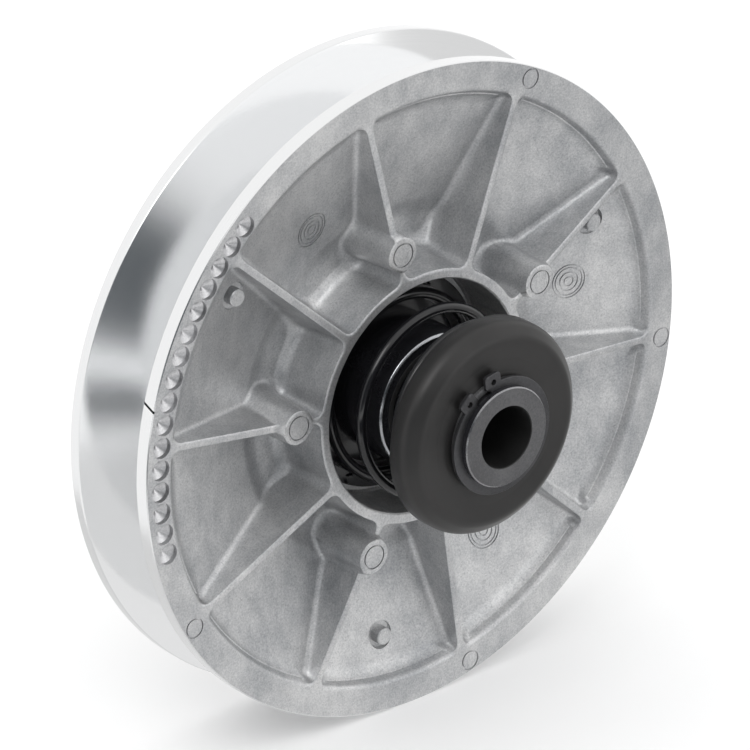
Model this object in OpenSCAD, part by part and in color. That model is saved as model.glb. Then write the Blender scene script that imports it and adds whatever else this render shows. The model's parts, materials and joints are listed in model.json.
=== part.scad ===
// Driven pulley of a belt variator: a fixed sheave on a hollow post, and a ribbed sliding
// sheave on a slotted cam tube, pushed shut by a coil spring behind a retaining cup.
// The axis runs along Y with the spring side facing -Y. The origin is on the axis, midway
// between the belt faces when the pulley is shut.

/* [Pulley] */
// Outside diameter of both sheaves
pulley_d = 270; // [250:1:290]
// Belt groove width at the rim when the pulley is shut
belt_w = 35; // [33:0.5:38]
// Angle of each belt face to the plane of the pulley
face_angle = 13.5; // [12:0.5:14.5]
// How far the sliding sheave opens
travel = 22; // [14:1:22]

/* [Post] */
// Bore for the jackshaft
bore_d = 25.4; // [20:0.1:28]
// Outside diameter of the post
post_d = 41; // [38:0.5:42]
// Post length in front of the groove's middle
post_front = 77; // [75:0.5:80]
// Post length behind the groove's middle
post_rear = 34; // [32:0.5:40]

/* [Sliding sheave] */
// Number of ribs, which is even because every second one carries a boss
rib_count = 10; // [8:2:12]
// Thickness of a rib at its top
rib_t = 3; // [2:0.5:4]
// Direction of the first rib that carries a boss
rib_start = 101.3; // [90:0.1:120]
// Number of balance drillings in the rim
balance_count = 16; // [0:1:20]

/* [Spring] */
// Wire diameter
wire_d = 4.4; // [4:0.1:5]
// Distance between two active turns
spring_pitch = 20; // [16:0.5:22]
// How far a turn in the middle of the spring leans to one side
turn_lean = 2; // [0:0.5:2]

/* [Hidden] */
$fn = 96;
eps = 0.01;
pulley_r = pulley_d / 2;
half_w = belt_w / 2;
slope = tan(face_angle);
bore_r = bore_d / 2;
post_r = post_d / 2;
chamfer = 0.6;

// Sheave castings
rim_in = pulley_r - 12.5;
web_t = 4.6;
front_rim_w = half_w + 6.5;
rear_rim_w = -half_w - 5;
face_in_r = 64;
web_out_r = rim_in - 3.5;
web_in_r = 72;
hub_foot_r = 56;
floor_w = 4.2;

// Hub ring of the sliding sheave and the seat inside it
ring_in = 48.3;
ring_out = 52.5;
ring_w = front_rim_w + 5;
seat_w = 4;
seat_back_w = 0.5;

// Bosses, pads, pins of the mould and drillings
boss_r = 7;
boss_at = 66;
boss_w = ring_w + 2;
pad_r = 4.2;
pad_at = 130;
pad_groove = 0.5;
pad_turns = [63.5, 210.2, 282.7, 353];
stub_r = 3.5;
stub_at = 106;
stub_h = 3;
stub_turns = [23, 143, 264];
drill_r = 4.3;
drill_at = 128.4;
drill_start = 131.8;
drill_step = 4.1;

// Cam tube, with three helical slots, and its guide pins
tube_in = 24;
tube_out = 26.9;
tube_back = -14;
tube_front = 35.2;
flange_r = 44.6;
flange_front = seat_w + 4;
roller_r = 4.5;
slot_r = roller_r + 0.3;
slot_steps = 12;
pin_r = 2.5;
pin_w = 21.5;
pin_in = 15;
pin_end_gap = 0.2;
roller_end_gap = 0.6;
roller_gap = 0.05;
lead_angle = 44;
turn_deg = travel * tan(90 - lead_angle) / tube_out * 180 / PI;
slot_count = 3;
slot_start = 20;

// Sealing collar over the cam tube
collar_in = 27;
collar_out = 28.4;
o_ring_w = 30.4;
o_ring_t = 1.8;
o_ring_groove = 2.2;

// Bushings and seals between tube and post
bush_l = 5;
bush_inset = 0.2;
seal_l = 2.2;
run_gap = 0.05;

// Cup, shim and retaining ring at the front of the post
cup_r = 43.8;
cup_back = front_rim_w + 34.3;
cup_front = front_rim_w + 47;
cup_wall = 3;
cup_floor = 4;
cup_round = 8;
cup_inner_round = 1.5;
shim_r = 23;
ring_groove_r = 19.2;
ring_t = 1.8;
ring_front = post_front - 2.8;
clip_r = 24.6;
clip_gap = 22;
clip_at = 116.5;
ear_r = 3;
ear_hole_r = 1.2;
ear_at = 25;
ear_turn = clip_gap / 2 + 5;

// Steel flange behind the fixed sheave, with its rivets, and the hub that it backs
back_hub_r = 37;
recess_r = 31;
recess_w = -16;
hub_back = -24;
plate_r = 33;
plate_t = 5;
rivet_count = 6;
rivet_r = 3;
rivet_at = 26.5;
rivet_head_t = 2;
rivet_head_rim = 1.6;
small_rivet_r = 1.6;
small_rivet_at = 42.2;

// Spring
coil_r = 37.4;
washer_t = 1;
spring_back = flange_front + washer_t;
spring_front = cup_front - cup_floor - washer_t - 0.1;
seat_half = 3.2;
seat_out = 2;
end_turns = 0.85;
end_rise = wire_d * end_turns;
active_rise = spring_front - spring_back - wire_d - 2 * end_rise;
active_turns = active_rise / spring_pitch;
wire_sides = 8;
step_deg = 15;
coil_mark_w = front_rim_w + 10;
coil_mark_deg = 150;

// Height of the sliding and fixed belt faces above the middle plane, at a radius
function face_w(r) = half_w - (pulley_r - r) * slope;

// Height of the spring's centre line after t turns, with upright turns
function upright_w(t) = spring_back + wire_d / 2
    + (t < end_turns ? t * wire_d
    : t < end_turns + active_turns ? end_rise + (t - end_turns) * spring_pitch
    : end_rise + active_rise + (t - end_turns - active_turns) * wire_d);

// Direction of the spring's first point, so that one turn passes its mark
coil_start = coil_mark_deg
    - 360 * (end_turns + (coil_mark_w - upright_w(end_turns)) / spring_pitch);

// How much of the lean a turn has: none in the closed ends, all of it halfway
function lean_share(t) = sin(180 * min(1, max(0, (t - end_turns) / active_turns)));

// Height of the spring's centre line after t turns
function coil_w(t) = upright_w(t)
    - turn_lean * lean_share(t) * sin(coil_start + 360 * t - coil_mark_deg);

// Turns a part drawn along +Z, with its front up, onto the pulley's axis
module on_axis() { rotate([90, 0, 0]) children(); }

// A ring between two radii and two heights
module ring(r_in, r_out, low, high) {
    rotate_extrude() translate([r_in, low]) square([r_out - r_in, high - low]);
}

// Copies a child around the axis
module around(count, start = 0) {
    for (i = [0 : count - 1]) rotate([0, 0, start + i * 360 / count]) children();
}

// A cylinder lying along a radius, from one radius to another
module spoke(r, from, to, w) {
    translate([from, 0, w]) rotate([0, 90, 0]) cylinder(r = r, h = to - from);
}

// Upright plate along a radius, with its outline in the plane through the axis
module radial_plate(thickness, outline) {
    rotate([90, 0, 0]) translate([0, 0, -thickness / 2]) linear_extrude(thickness) polygon(outline);
}

// Rib of the sliding sheave: its top slopes from hub to rim, and its foot is inside the web
module rib(from_r) {
    radial_plate(rib_t, [[from_r, ring_w - 0.1], [rim_in + 1, front_rim_w - 0.1],
        [rim_in + 1, face_w(rim_in) + 1.5], [web_in_r, face_w(web_in_r) + 1.5],
        [from_r, seat_back_w + 1.5]]);
}

// Shallow drilling with a pointed end, at the origin, that opens upwards at height 0
module balance_drilling() {
    translate([0, 0, -2.4]) cylinder(r = drill_r, h = 3);
    translate([0, 0, -4.2]) cylinder(r1 = eps, r2 = drill_r, h = 1.8);
}

module sliding_sheave() {
    color("silver") on_axis() difference() {
        union() {
            rotate_extrude() polygon([
                [ring_in + 0.6, ring_w], [ring_out, ring_w],
                [hub_foot_r - 2, floor_w + 5], [hub_foot_r + 3, floor_w],
                [web_in_r - 6, floor_w], [web_in_r + 2, face_w(web_in_r + 2) + web_t],
                [web_out_r, face_w(web_out_r) + web_t],
                [rim_in - 0.5, front_rim_w - 2.5], [rim_in + 0.8, front_rim_w],
                [pulley_r - 0.5, front_rim_w], [pulley_r, front_rim_w - 0.5],
                [pulley_r, half_w], [face_in_r, face_w(face_in_r)],
                [face_in_r - 1, seat_back_w], [collar_in + 0.1, seat_back_w],
                [collar_in + 0.1, seat_w], [ring_in, seat_w],
                [ring_in, ring_w - 0.6]]);
            around(rib_count / 2, rib_start) rib(boss_at);
            around(rib_count / 2, rib_start) translate([ring_out - 1, -rib_t / 2, floor_w - 1])
                cube([boss_at - ring_out, rib_t, ring_w - floor_w]);
            around(rib_count / 2, rib_start + 360 / rib_count) rib(ring_out - 1);
            around(rib_count / 2, rib_start) translate([boss_at, 0, floor_w - 1])
                cylinder(r = boss_r, h = boss_w - floor_w + 1);
            for (turn = stub_turns) rotate([0, 0, turn])
                translate([stub_at, 0, face_w(stub_at) + 1])
                    cylinder(r = stub_r, h = web_t + stub_h - 1);
        }
        for (turn = pad_turns) rotate([0, 0, turn])
            translate([pad_at, 0, front_rim_w - pad_groove]) difference() {
                cylinder(r = pad_r, h = 1);
                translate([0, 0, -1]) cylinder(r = pad_r - pad_groove, h = 3);
            }
        for (i = [0 : 1 : balance_count - 1]) rotate([0, 0, drill_start + i * drill_step])
            translate([drill_at, 0, front_rim_w]) balance_drilling();
        around(rivet_count) translate([small_rivet_at, 0, -1])
            cylinder(r = small_rivet_r, h = seat_w + 2);
    }
}

module fixed_sheave() {
    color("gainsboro") on_axis() difference() {
        union() {
            rotate_extrude() polygon([
                [post_r, -face_w(face_in_r)], [face_in_r, -face_w(face_in_r)],
                [pulley_r, -half_w], [pulley_r, rear_rim_w + 0.5],
                [pulley_r - 0.5, rear_rim_w], [rim_in + 0.8, rear_rim_w],
                [web_out_r, -face_w(web_out_r) - web_t],
                [web_in_r, -face_w(web_in_r) - web_t - 1],
                [back_hub_r + 5, -face_w(web_in_r) - web_t - 4],
                [back_hub_r, hub_back], [post_r, hub_back]]);
            around(rib_count, rib_start) radial_plate(rib_t, [
                [back_hub_r - 2, hub_back + 0.1], [rim_in + 1, rear_rim_w + 0.1],
                [rim_in + 1, -face_w(rim_in) - 1.5],
                [back_hub_r - 2, -face_w(web_in_r) - 1.5]]);
        }
        translate([0, 0, recess_w]) cylinder(r = recess_r, h = 40);
        translate([0, 0, -40]) cylinder(r = post_r, h = 80);
        around(rivet_count) translate([rivet_at, 0, -40]) cylinder(r = rivet_r, h = 40);
    }
}

module post() {
    color("dimgray") on_axis() difference() {
        rotate_extrude() polygon([
            [0, post_front], [post_r - chamfer, post_front], [post_r, post_front - chamfer],
            [post_r, -post_rear + chamfer], [post_r - chamfer, -post_rear], [0, -post_rear]]);
        translate([0, 0, -post_rear - 1]) cylinder(r = bore_r, h = post_front + post_rear + 2);
        translate([0, 0, post_front - chamfer])
            cylinder(r1 = bore_r, r2 = bore_r + chamfer + eps, h = chamfer + eps);
        translate([0, 0, -post_rear - eps])
            cylinder(r1 = bore_r + chamfer + eps, r2 = bore_r, h = chamfer + eps);
        ring(ring_groove_r, post_r + 1, ring_front - ring_t - 0.05, ring_front + 0.05);
        around(slot_count, slot_start) spoke(pin_r, pin_in, post_r + 1, pin_w);
    }
}

// Steel ring pressed onto the post, which the fixed sheave is riveted to
module post_flange() {
    color("dimgray") on_axis() difference() {
        ring(post_r, plate_r, hub_back - plate_t, hub_back);
        around(rivet_count) translate([rivet_at, 0, hub_back - plate_t - 1])
            cylinder(r = rivet_r, h = plate_t + 2);
    }
}

// Rivets that hold the fixed sheave to the post's flange
module sheave_rivets() {
    flange_back = hub_back - plate_t;
    head_r = rivet_r + rivet_head_rim;
    color("darkgray") on_axis() around(rivet_count) translate([rivet_at, 0, 0]) {
        translate([0, 0, flange_back]) cylinder(r = rivet_r, h = recess_w - flange_back);
        translate([0, 0, flange_back - rivet_head_t])
            cylinder(r1 = rivet_r, r2 = head_r, h = rivet_head_t);
        translate([0, 0, recess_w]) cylinder(r1 = head_r - 0.2, r2 = rivet_r - 0.4, h = 1.6);
    }
}

// Outline of a cup's shell between its axis and its wall, with a round corner at the front
module cup_outline(r, back, front, corner) {
    translate([0, back]) square([r, front - corner - back]);
    translate([0, back]) square([r - corner, front - back]);
    intersection() {
        translate([r - corner, front - corner]) circle(r = corner);
        translate([r - corner, back]) square([corner, front - back]);
    }
}

module spring_cup() {
    color("#3a3a3c") on_axis() rotate_extrude() difference() {
        cup_outline(cup_r, cup_back, cup_front, cup_round);
        cup_outline(cup_r - cup_wall, cup_back - 1, cup_front - cup_floor, cup_inner_round);
        translate([-1, cup_back - 2]) square([post_r + 1, cup_front - cup_back + 4]);
    }
}

module cup_shim() {
    color("gray") on_axis() ring(post_r, shim_r, cup_front, ring_front - ring_t);
}

// Open ring with two drilled ears beside its gap
module retaining_ring() {
    color("#26262a") on_axis() rotate([0, 0, clip_at])
        translate([0, 0, ring_front - ring_t]) linear_extrude(ring_t) difference() {
            union() {
                circle(r = clip_r);
                for (side = [-1, 1]) rotate([0, 0, side * ear_turn])
                    translate([ear_at, 0]) circle(r = ear_r);
            }
            circle(r = ring_groove_r);
            for (side = [-1, 1]) rotate([0, 0, side * ear_turn])
                translate([ear_at, 0]) circle(r = ear_hole_r);
            polygon([[0, 0], [40, -40 * tan(clip_gap / 2)], [40, 40 * tan(clip_gap / 2)]]);
        }
}

module guide_pin(i) {
    color("lightsteelblue") on_axis() rotate([0, 0, slot_start + (i - 1) * 360 / slot_count])
        spoke(pin_r, pin_in, tube_out - pin_end_gap, pin_w);
}

module guide_roller(i) {
    color("steelblue") on_axis() rotate([0, 0, slot_start + (i - 1) * 360 / slot_count])
        difference() {
            spoke(roller_r, tube_in - 0.8, tube_out - roller_end_gap, pin_w);
            spoke(pin_r + roller_gap, tube_in - 2, tube_out + 1, pin_w);
        }
}

// Steel tube, where each slot is a row of drillings that follows the helix
module cam_tube() {
    color("#1c1c20") on_axis() difference() {
        ring(tube_in, tube_out, tube_back, tube_front);
        around(slot_count, slot_start)
            for (i = [0 : slot_steps]) rotate([0, 0, -turn_deg * i / slot_steps])
                spoke(slot_r, tube_in - 3, tube_out + 2, pin_w - travel * i / slot_steps);
        ring(tube_out - 1, tube_out + 1,
            o_ring_w - o_ring_groove / 2, o_ring_w + o_ring_groove / 2);
    }
}

// Steel ring on the tube, riveted to the seat inside the sliding sheave
module tube_flange() {
    color("#1c1c20") on_axis() difference() {
        ring(tube_out, flange_r, seat_w, flange_front);
        around(rivet_count) translate([small_rivet_at, 0, -1])
            cylinder(r = small_rivet_r, h = flange_front + 2);
    }
}

// Rivets that hold the cam tube's flange to the seat inside the sliding sheave
module tube_rivets() {
    color("darkgray") on_axis() around(rivet_count) translate([small_rivet_at, 0, seat_back_w]) {
        cylinder(r = small_rivet_r, h = flange_front - seat_back_w);
        translate([0, 0, flange_front - seat_back_w])
            cylinder(r1 = small_rivet_r + 0.8, r2 = small_rivet_r, h = 1);
    }
}

module seal_collar() {
    color("#2e2e34") on_axis() ring(collar_in, collar_out, flange_front, front_rim_w + 11.6);
}

module collar_o_ring() {
    color("black") on_axis()
        ring(tube_out - 1, collar_in, o_ring_w - o_ring_t / 2, o_ring_w + o_ring_t / 2);
}

// A bushing or a seal: a sleeve of one length between the post and the tube
module sleeve(low, length) {
    ring(post_r + run_gap, tube_in, low, low + length);
}

module front_bushing() {
    color("peru") on_axis() sleeve(tube_front - seal_l - bush_inset - bush_l, bush_l);
}

module rear_bushing() {
    color("peru") on_axis() sleeve(tube_back + seal_l + bush_inset, bush_l);
}

module front_seal() {
    color("#202020") on_axis() sleeve(tube_front - seal_l, seal_l);
}

module rear_seal() {
    color("#202020") on_axis() sleeve(tube_back, seal_l);
}

// Coil spring: a wire of wire_sides flats swept along its turns, closed at both ends
module spring() {
    turns = 2 * end_turns + active_turns;
    rings = ceil(turns * 360 / step_deg);
    points = [for (i = [0 : rings]) let (t = turns * i / rings, a = coil_start + 360 * t)
        for (k = [0 : wire_sides - 1]) let (
            b = 360 * k / wire_sides,
            r = coil_r + wire_d / 2 * cos(b))
            [r * cos(a), r * sin(a), coil_w(t) + wire_d / 2 * sin(b)]];
    sides = [for (i = [0 : rings - 1]) for (k = [0 : wire_sides - 1]) let (
        n = (k + 1) % wire_sides,
        a = i * wire_sides)
        [a + k, a + wire_sides + k, a + wire_sides + n, a + n]];
    first = [for (k = [0 : wire_sides - 1]) k];
    last = [for (k = [wire_sides - 1 : -1 : 0]) rings * wire_sides + k];
    color("#101014") on_axis() polyhedron(points, concat([first], sides, [last]), convexity = 10);
}

module spring_washer() {
    color("#c8c0a8") on_axis()
        ring(coil_r - seat_half, coil_r + seat_out, spring_front, spring_front + washer_t);
}

module seat_washer() {
    color("gray") on_axis() ring(coil_r - seat_half, coil_r + seat_out, flange_front, spring_back);
}

fixed_sheave();
post();
post_flange();
sheave_rivets();
spring_cup();
cup_shim();
retaining_ring();
guide_pin(1);  // guide_pin_1
guide_pin(2);  // guide_pin_2
guide_pin(3);  // guide_pin_3
guide_roller(1);  // guide_roller_1
guide_roller(2);  // guide_roller_2
guide_roller(3);  // guide_roller_3
sliding_sheave();
cam_tube();
tube_flange();
tube_rivets();
seal_collar();
collar_o_ring();
front_bushing();
rear_bushing();
front_seal();
rear_seal();
spring();
spring_washer();
seat_washer();
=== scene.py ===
"""Looks of a variator's driven pulley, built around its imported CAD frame.

Turned and cast pieces are worked out in millimetres in the pulley's own cylinder: r is the
distance from the axis, w the height towards the spring side, which faces -Y in the frame.
"""
import json
import math

import bmesh
import bpy
import numpy as np
from mathutils import Matrix, Vector

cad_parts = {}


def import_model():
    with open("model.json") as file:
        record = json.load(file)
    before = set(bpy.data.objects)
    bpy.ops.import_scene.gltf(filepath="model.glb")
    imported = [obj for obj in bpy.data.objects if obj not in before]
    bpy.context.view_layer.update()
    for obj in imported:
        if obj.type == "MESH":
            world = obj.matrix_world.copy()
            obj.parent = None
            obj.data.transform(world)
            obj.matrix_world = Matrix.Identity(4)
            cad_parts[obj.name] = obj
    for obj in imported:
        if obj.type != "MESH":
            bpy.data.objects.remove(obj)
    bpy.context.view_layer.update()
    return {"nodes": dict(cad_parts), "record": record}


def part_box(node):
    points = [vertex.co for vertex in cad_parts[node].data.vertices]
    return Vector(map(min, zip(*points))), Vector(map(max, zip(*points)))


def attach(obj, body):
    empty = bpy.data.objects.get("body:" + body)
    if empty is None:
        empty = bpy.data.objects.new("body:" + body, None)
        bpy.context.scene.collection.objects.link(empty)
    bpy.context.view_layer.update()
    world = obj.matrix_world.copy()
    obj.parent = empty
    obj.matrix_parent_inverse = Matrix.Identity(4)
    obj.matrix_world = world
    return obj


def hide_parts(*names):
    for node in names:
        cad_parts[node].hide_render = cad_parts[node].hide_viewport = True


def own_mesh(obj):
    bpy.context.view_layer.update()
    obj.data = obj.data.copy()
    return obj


MM = 0.001
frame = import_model()


def size_in_mm(node):
    """The outer radius, back and front of a CAD node, in millimetres."""
    low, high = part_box(node)
    return high.x / MM, -high.y / MM, -low.y / MM


# Post, cup and collar, from the frame where it has them
RIM_R, _, _ = size_in_mm("fixed_sheave")
BORE_R = frame["record"]["mounts"][0]["dims"]["r_mm"]
POST_R = 20.5
_, _, POST_FRONT = size_in_mm("post")
POST_BACK = -34.0
CUP_R, CUP_BACK, CUP_FRONT = size_in_mm("spring_cup")
COLLAR_R, COLLAR_BACK, COLLAR_FRONT = size_in_mm("seal_collar")
COLLAR_IN = 27.05
SEAL_OUT = 24.0

# Both sheaves: belt faces, rims and the web between the ribs
HALF_GROOVE = 17.5
SLOPE = math.tan(math.radians(13.5))
FACE_IN_R = 64.0
RIM_IN = 122.5
RIM_EDGE = 0.8
WEB_T = 4.6
BAND_IN = RIM_R - 0.45

# Ribs: half thicknesses, fillets where they flare out, and draft in degrees
RIB_COUNT = 10
RIB_STEP = 360 / RIB_COUNT
RIB_START = 101.3
RIB_HALF = 1.5
RIB_HALF_INSIDE_BOSS = 1.15
RIB_FLARE = 4.5
BOSS_FLARE = 2.5
RIB_DRAFT = 4
RIM_DRAFT = RIB_DRAFT + 24
BOWL_FILLET = 5.5
WEB_FILLET = BOWL_FILLET - 2.9
RIM_FILLET_MORE = 3.0

# The sliding sheave's front
RIM_W = 24.0
RING_IN = 48.3
RING_OUT = 52.5
RING_W = 29.0
SEAT_W = 4.0
TUBE_HOLE_R = 27.1
BOWL_W = 4.2
BOWL_IN = 64.5
BOWL_OUT = 74.5
BOSS_AT = 66.0
BOSS_R = 7.0
BOSS_W = RING_W + 2
STUB_AT = 106.0
STUB_R = 3.6
STUB_FOOT = 12.2
STUB_TOP = 18.2
STUB_DEG = (23, 143, 264)
STAMPS = ((87.7, 118.5), (91.5, 10.2), (91.8, 300))
STAMP_RINGS = (7.2, 6.0, 4.0, 2.0)
STUB_DISH = (5.4, 5.8)
STAMP_HALF = 0.3
STAMP_DEEP = 0.4
BOSS_GROOVE = (4.5, 5.1, 0.8)
PAD_GROOVE = (3.6, 4.3, 0.6)
PAD_AT = 130.0
PAD_DEG = (63.5, 353, 282.7, 210.2)
DRILL_AT = 128.4
DRILL_R = 4.3
DRILL_DEEP = 4.2
DRILL_START = 131.8
DRILL_STEP = 4.1
DRILL_COUNT = 16

# Seals between the cam tube and the post: backs and fronts
FRONT_SEAL = (33.0, 35.2)
REAR_SEAL = (-14.0, -11.8)
O_RING_AT = (26.45, 30.4)
O_RING_HALF = (0.54, 0.9)

# The fixed sheave's back, and the post's flange that is riveted into it
REAR_RIM_W = 22.5
REAR_HUB_R = 37.0
REAR_HUB_W = 24.0
RECESS_R = 31.0
RECESS_W = 16.0
FLANGE_R = 33.0
FLANGE_BACK = -29.0
FLANGE_FRONT = -24.0
RIVET_AT = 26.5
RIVET_COUNT = 6

# Circlip at the front of the post
CLIP_IN = 19.25
CLIP_OUT = 23.2
CLIP_SWELL = 1.3
CLIP_BACK = POST_FRONT - 4.6
CLIP_FRONT = POST_FRONT - 2.8
CLIP_PLAY = 0.05
CLIP_GAP_DEG = 116.5
CLIP_HALF_GAP = 11
EAR_AT = 24.4
EAR_HALF = (3.3, 3.9)
EAR_TURN = 16.0
EAR_HOLE_AT = 24.2
EAR_HOLE_R = 1.25

# Spring, with closed end turns
COIL_R = 37.4
WIRE_R = 2.2
COIL_BACK = 9.0
COIL_FRONT = 65.9
END_TURNS = 0.85
PITCH = 20.0
END_RISE = 2 * WIRE_R * END_TURNS
ACTIVE_RISE = COIL_FRONT - COIL_BACK - 2 * WIRE_R - 2 * END_RISE
ACTIVE_TURNS = ACTIVE_RISE / PITCH
TURN_LEAN = 2.0
MARK_DEG = 150.0
MARK_W = 34.0

# Camera angles in degrees, and its place from the rim's centre in metres
AZIMUTH = -40.63
ELEVATION = 25.46
LENS_MM = 384
SHIFT_LEFT = 0.0161
SHIFT_UP = 0.0067
DISTANCE = 3.1074

FLOOR_Z = -RIM_R * MM
FLOOR_REACH = 6.0
NEAR_FLOOR = 0.22


# ---------------------------------------------------------------- shapes


def in_frame(x, y, w):
    """Points of the pulley's own cylinder, in millimetres, as points of the frame in metres."""
    return np.stack([x, -w, y], axis=-1) * MM


def set_at(out, along, w, at_deg):
    """Points given outwards from and along a tangent at an angle round the axis, in the frame."""
    a = math.radians(at_deg)
    cos_a = math.cos(a)
    sin_a = math.sin(a)
    return in_frame(out * cos_a - along * sin_a, out * sin_a + along * cos_a, w)


def whole_turn(count):
    """Equal angles around a full turn, in radians."""
    return np.arange(count) * 2 * math.pi / count


def face_w(r):
    """Height of a belt face above the middle plane."""
    return HALF_GROOVE - (RIM_R - r) * SLOPE


def smooth_step(value, low, high):
    t = np.clip((value - low) / (high - low), 0, 1)
    return t * t * (3 - 2 * t)


def smooth_min(a, b, reach):
    """The lower of two distances, with a round inside corner of about that reach."""
    h = np.maximum(reach - np.abs(a - b), 0)
    return np.minimum(a, b) - h * h / (4 * reach)


def outline(corners, steps=6):
    """A closed outline of (r, w) or (r, w, fillet) corners, with arcs at the fillets."""
    points = []
    count = len(corners)
    for i, corner in enumerate(corners):
        here = np.array(corner[:2], float)
        if len(corner) == 2:
            points.append(tuple(here))
            continue
        before = np.array(corners[i - 1][:2], float) - here
        after = np.array(corners[(i + 1) % count][:2], float) - here
        before /= np.linalg.norm(before)
        after /= np.linalg.norm(after)
        half = math.acos(np.clip(before @ after, -1, 1)) / 2
        reach = corner[2] / math.tan(half)
        middle = here + (before + after) / np.linalg.norm(before + after) * corner[2] / math.sin(half)
        start = here + before * reach - middle
        end = here + after * reach - middle
        sweep = math.pi - 2 * half
        for k in range(steps + 1):
            t = k / steps
            a = math.sin((1 - t) * sweep) / math.sin(sweep)
            b = math.sin(t * sweep) / math.sin(sweep)
            points.append(tuple(middle + a * start + b * end))
    return points


def add_object(name, data):
    piece = bpy.data.objects.new(name, data)
    bpy.context.scene.collection.objects.link(piece)
    return piece


def shade(mesh, sharp_deg=35):
    """Smooth shading apart from edges sharper than that angle."""
    mesh.shade_smooth()
    mesh.set_sharp_from_angle(angle=math.radians(sharp_deg))


def mesh_object(name, points, faces, sharp_deg=35):
    """A mesh object with faces turned outwards, smooth apart from its sharp edges."""
    mesh = bpy.data.meshes.new(name)
    mesh.from_pydata(points.reshape(-1, 3).tolist(), [], faces)
    work = bmesh.new()
    work.from_mesh(mesh)
    bmesh.ops.recalc_face_normals(work, faces=work.faces)
    work.to_mesh(mesh)
    work.free()
    shade(mesh, sharp_deg)
    return add_object(name, mesh)


def grid_faces(rows, columns, close_rows=True):
    """Four-sided faces of a grid that closes around its columns, and around its rows too."""
    faces = []
    for i in range(rows if close_rows else rows - 1):
        low = i * columns
        high = (i + 1) % rows * columns
        for j in range(columns):
            k = (j + 1) % columns
            faces.append((low + j, low + k, high + k, high + j))
    return faces


def lathe(name, profile, sides=160, sharp_deg=35):
    """A closed (r, w) outline turned around the pulley's axis."""
    r = np.array([p[0] for p in profile])[:, None]
    w = np.array([p[1] for p in profile])[:, None]
    turn = whole_turn(sides)[None, :]
    points = in_frame(r * np.cos(turn), r * np.sin(turn), w + 0 * turn)
    return mesh_object(name, points, grid_faces(len(profile), sides), sharp_deg)


def join(name, parts):
    """Several mesh objects as one."""
    work = bmesh.new()
    for part in parts:
        work.from_mesh(part.data)
        bpy.data.objects.remove(part)
    mesh = bpy.data.meshes.new(name)
    work.to_mesh(mesh)
    work.free()
    return add_object(name, mesh)


def combine(piece, tool, operation):
    """Cuts the tool out of a piece, or adds it, and removes the tool."""
    step = piece.modifiers.new(operation, "BOOLEAN")
    step.operation = operation
    step.solver = "MANIFOLD"
    step.object = tool
    bpy.context.view_layer.update()
    made = piece.evaluated_get(bpy.context.evaluated_depsgraph_get())
    mesh = bpy.data.meshes.new_from_object(made)
    piece.modifiers.clear()
    piece.data = mesh
    bpy.data.objects.remove(tool)


def spot(name, profile, at_r, at_deg, sides=48):
    """A small turned solid of (radius, height) points that stands on the pulley's front."""
    r = np.array([max(p[0], 0.01) for p in profile])[:, None]
    h = np.array([p[1] for p in profile])[:, None]
    turn = whole_turn(sides)[None, :]
    points = set_at(at_r + r * np.cos(turn), r * np.sin(turn), h + 0 * turn, at_deg)
    return mesh_object(name, points, grid_faces(len(profile), sides))


# ---------------------------------------------------------------- sheave castings


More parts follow.
